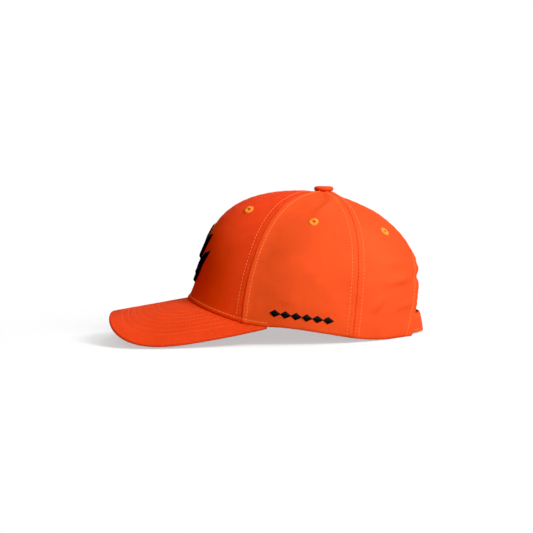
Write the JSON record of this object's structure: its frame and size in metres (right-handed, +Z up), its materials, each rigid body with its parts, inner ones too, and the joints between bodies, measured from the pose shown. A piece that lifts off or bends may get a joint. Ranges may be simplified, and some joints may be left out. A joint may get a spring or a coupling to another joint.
{
  "type": "baseball cap",
  "caption": "Structured fabric cap with panelled crown, curved stitched bill, top button, embroidered eyelets and an open back closed by a hook-and-loop strap.",
  "frame": {"origin": "centre of the oval head opening, on the plane the cap rests on", "axes": "-X towards the tip of the bill, +X towards the back of the head, -Y the wearer's left, +Z up to the top button"},
  "size_m": [0.2793, 0.1694, 0.1316],
  "materials": {
    "cap_fabric": "cotton twill, matte",
    "lining_fabric": "stiff woven interlining",
    "tape_fabric": "plain woven tape",
    "sweatband_fabric": "soft cotton",
    "padding": "non-woven pad",
    "bill_board": "stiff sheet",
    "embroidery_thread": "satin stitch",
    "eyelet_thread": "satin stitch",
    "hook_strip": "fine hooks",
    "loop_strip": "brushed loops",
    "button_metal": "plain pressed",
    "label_fabric": "smooth woven, blank"
  },
  "bodies": {
    "crown": {"bill_board": "bill_board", "bill_cover_bottom": "cap_fabric", "bill_cover_top": "cap_fabric", "bill_edge_fold": "cap_fabric", "button_cover": "cap_fabric", "button_rivet": "button_metal", "button_shell": "button_metal", "button_washer": "button_metal", "care_label": "label_fabric", "eyelet_front_left": "eyelet_thread", "eyelet_front_right": "eyelet_thread", "eyelet_rear_left": "eyelet_thread", "eyelet_rear_right": "eyelet_thread", "eyelet_side_left": "eyelet_thread", "eyelet_side_right": "eyelet_thread", "front_emblem": "embroidery_thread", "front_panel_left": "cap_fabric", "front_panel_right": "cap_fabric", "front_stiffener_left": "lining_fabric", "front_stiffener_right": "lining_fabric", "opening_binding": "tape_fabric", "rear_panel_left": "cap_fabric", "rear_panel_right": "cap_fabric", "side_motif": "embroidery_thread", "side_panel_left": "cap_fabric", "side_panel_right": "cap_fabric", "strap_root": "cap_fabric", "sweatband": "sweatband_fabric", "sweatband_padding": "padding", "tab_root": "cap_fabric", "tape_front_center": "tape_fabric", "tape_front_left": "tape_fabric", "tape_front_right": "tape_fabric", "tape_rear_center": "tape_fabric", "tape_rear_left": "tape_fabric", "tape_rear_right": "tape_fabric"},
    "strap": {"strap_band": "cap_fabric", "strap_hook_patch": "hook_strip"},
    "tab": {"tab_band": "cap_fabric", "tab_loop_patch": "loop_strip"}
  },
  "joints": [
    {"name": "strap_peel", "type": "hinge", "parent": "crown", "child": "strap", "pos_m": [0.09443, -0.03228, 0.00943], "axis": [-0.1626, -0.0042, -0.9867], "range_deg": [0, 95]},
    {"name": "tab_fold", "type": "hinge", "parent": "crown", "child": "tab", "pos_m": [0.09338, 0.03172, 0.00962], "axis": [-0.1618, 0.0027, -0.9868], "range_deg": [0, 80]}
  ]
}
